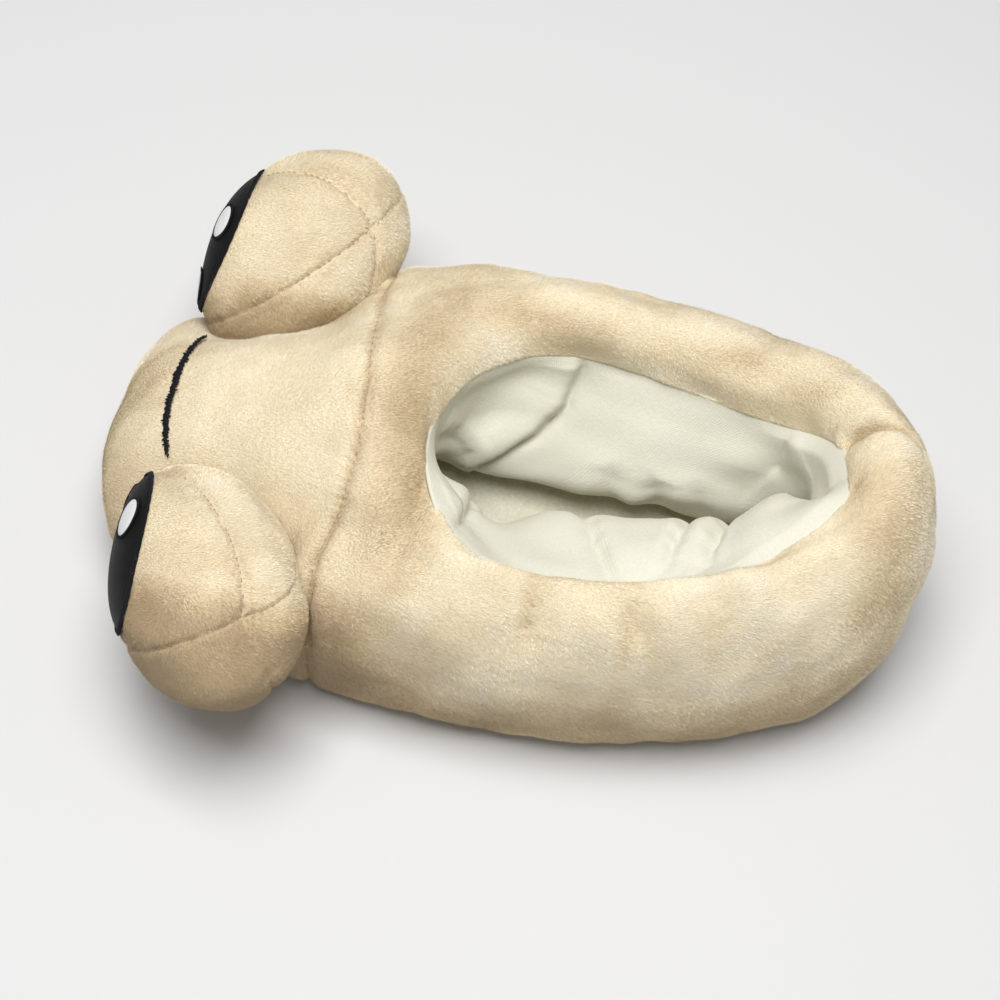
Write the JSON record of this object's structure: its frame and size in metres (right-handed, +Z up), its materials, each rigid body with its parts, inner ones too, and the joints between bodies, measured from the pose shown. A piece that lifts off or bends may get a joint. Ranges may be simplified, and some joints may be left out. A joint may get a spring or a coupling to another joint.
{
  "type": "plush animal slipper",
  "caption": "Thickly padded closed-heel plush slipper with a low muzzle, two stuffed ball eyes, an embroidered mouth, a soft lining and a flat cloth sole.",
  "frame": {"origin": "on the floor, under the middle of the shoe's length and width", "axes": "+X from heel to toe, +Y to the wearer's left, +Z up"},
  "size_m": [0.28, 0.2172, 0.098],
  "materials": {
    "plush": "short beige pile, matt with a soft sheen",
    "insole_felt": "grey felt",
    "sole_cloth": "woven beige cloth with small grip dots",
    "black_thread": "black satin stitch"
  },
  "bodies": {
    "root": {"outsole": "sole_cloth", "insole": "insole_felt", "upper": "plush", "eye_left": "plush", "eye_right": "plush", "eye_patch_left": "black_thread", "eye_patch_right": "black_thread", "mouth": "black_thread"}
  },
  "joints": []
}
